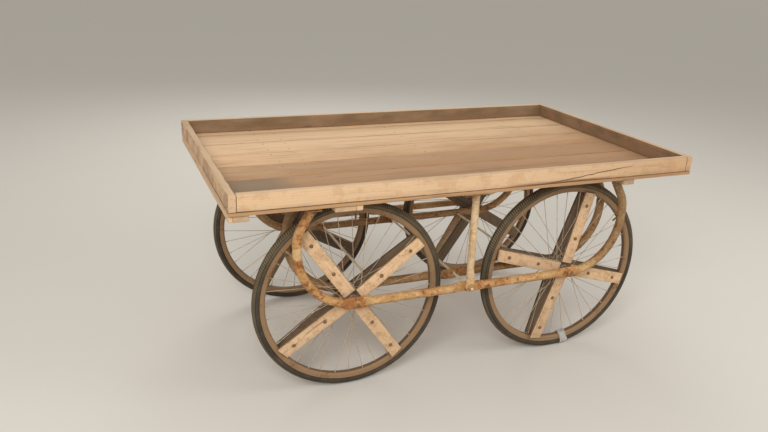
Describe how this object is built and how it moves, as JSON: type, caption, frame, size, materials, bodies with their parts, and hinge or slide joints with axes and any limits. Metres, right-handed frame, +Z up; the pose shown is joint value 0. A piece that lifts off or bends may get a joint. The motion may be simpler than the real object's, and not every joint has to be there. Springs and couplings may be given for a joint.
{
  "type": "four-wheeled hand cart",
  "caption": "Low wooden plank tray with a rim on wire-spoked wheels, held by bent pipe bows; a street vendor's push cart.",
  "frame": {"origin": "on the ground, below the middle of the tray", "axes": "+X along the tray to the right end, +Y across to the back, +Z up"},
  "size_m": [1.78, 1.04, 0.813],
  "materials": {
    "rim_board_wood": "bare weathered timber",
    "deck_wood": "bare weathered timber, worn",
    "bearer_wood": "bare grey timber",
    "batten_wood": "bare sawn timber, dusty",
    "pipe_paint": "worn yellowish paint over rust",
    "strut_paint": "worn pale paint",
    "rod_steel": "dull steel",
    "axle_steel": "rusty steel",
    "rim_steel": "rusted steel",
    "spoke_steel": "dull galvanised wire, spotted with rust",
    "fastener_steel": "dark rusted nails, bolts and nuts",
    "strip_cloth": "pale rag strips tied round two wheels, in the visual model only",
    "tyre_rubber": "dusty black rubber"
  },
  "bodies": {
    "cart_frame": {"tray_board_front": "rim_board_wood", "tray_board_back": "rim_board_wood", "tray_board_left": "rim_board_wood", "tray_board_right": "rim_board_wood", "deck_planks": "deck_wood", "bearer_left_end": "bearer_wood", "bearer_left_bows": "bearer_wood", "bearer_middle": "bearer_wood", "bearer_right_bows": "bearer_wood", "deck_cleat": "bearer_wood", "bow_front_outer_left": "pipe_paint", "bow_front_outer_right": "pipe_paint", "bow_front_inner_left": "pipe_paint", "bow_front_inner_right": "pipe_paint", "bow_back_inner_left": "pipe_paint", "bow_back_inner_right": "pipe_paint", "bow_back_outer_left": "pipe_paint", "bow_back_outer_right": "pipe_paint", "strut_front_outer": "strut_paint", "strut_back_outer": "strut_paint", "tie_rod_middle": "rod_steel", "tie_rod_left": "rod_steel", "tie_rod_right": "rod_steel", "axle_front_left": "axle_steel", "axle_front_right": "axle_steel", "axle_back_left": "axle_steel", "axle_back_right": "axle_steel"},
    "wheel_front_left": {"tyre_front_left": "tyre_rubber", "rim_front_left": "rim_steel", "hub_spokes_front_left": "spoke_steel", "battens_outside_front_left": "batten_wood", "battens_inside_front_left": "batten_wood"},
    "wheel_front_right": {"tyre_front_right": "tyre_rubber", "rim_front_right": "rim_steel", "hub_spokes_front_right": "spoke_steel", "battens_outside_front_right": "batten_wood", "battens_inside_front_right": "batten_wood"},
    "wheel_back_left": {"tyre_back_left": "tyre_rubber", "rim_back_left": "rim_steel", "hub_spokes_back_left": "spoke_steel", "battens_outside_back_left": "batten_wood", "battens_inside_back_left": "batten_wood"},
    "wheel_back_right": {"tyre_back_right": "tyre_rubber", "rim_back_right": "rim_steel", "hub_spokes_back_right": "spoke_steel", "battens_outside_back_right": "batten_wood", "battens_inside_back_right": "batten_wood"}
  },
  "joints": [
    {"name": "spin_front_left", "type": "hinge", "parent": "cart_frame", "child": "wheel_front_left", "pos_m": [-0.4425, -0.375, 0.3555], "axis": [0, 1, 0], "continuous": true},
    {"name": "spin_front_right", "type": "hinge", "parent": "cart_frame", "child": "wheel_front_right", "pos_m": [0.4425, -0.375, 0.3555], "axis": [0, 1, 0], "continuous": true},
    {"name": "spin_back_left", "type": "hinge", "parent": "cart_frame", "child": "wheel_back_left", "pos_m": [-0.4425, 0.375, 0.3555], "axis": [0, 1, 0], "continuous": true},
    {"name": "spin_back_right", "type": "hinge", "parent": "cart_frame", "child": "wheel_back_right", "pos_m": [0.4425, 0.375, 0.3555], "axis": [0, 1, 0], "continuous": true}
  ]
}
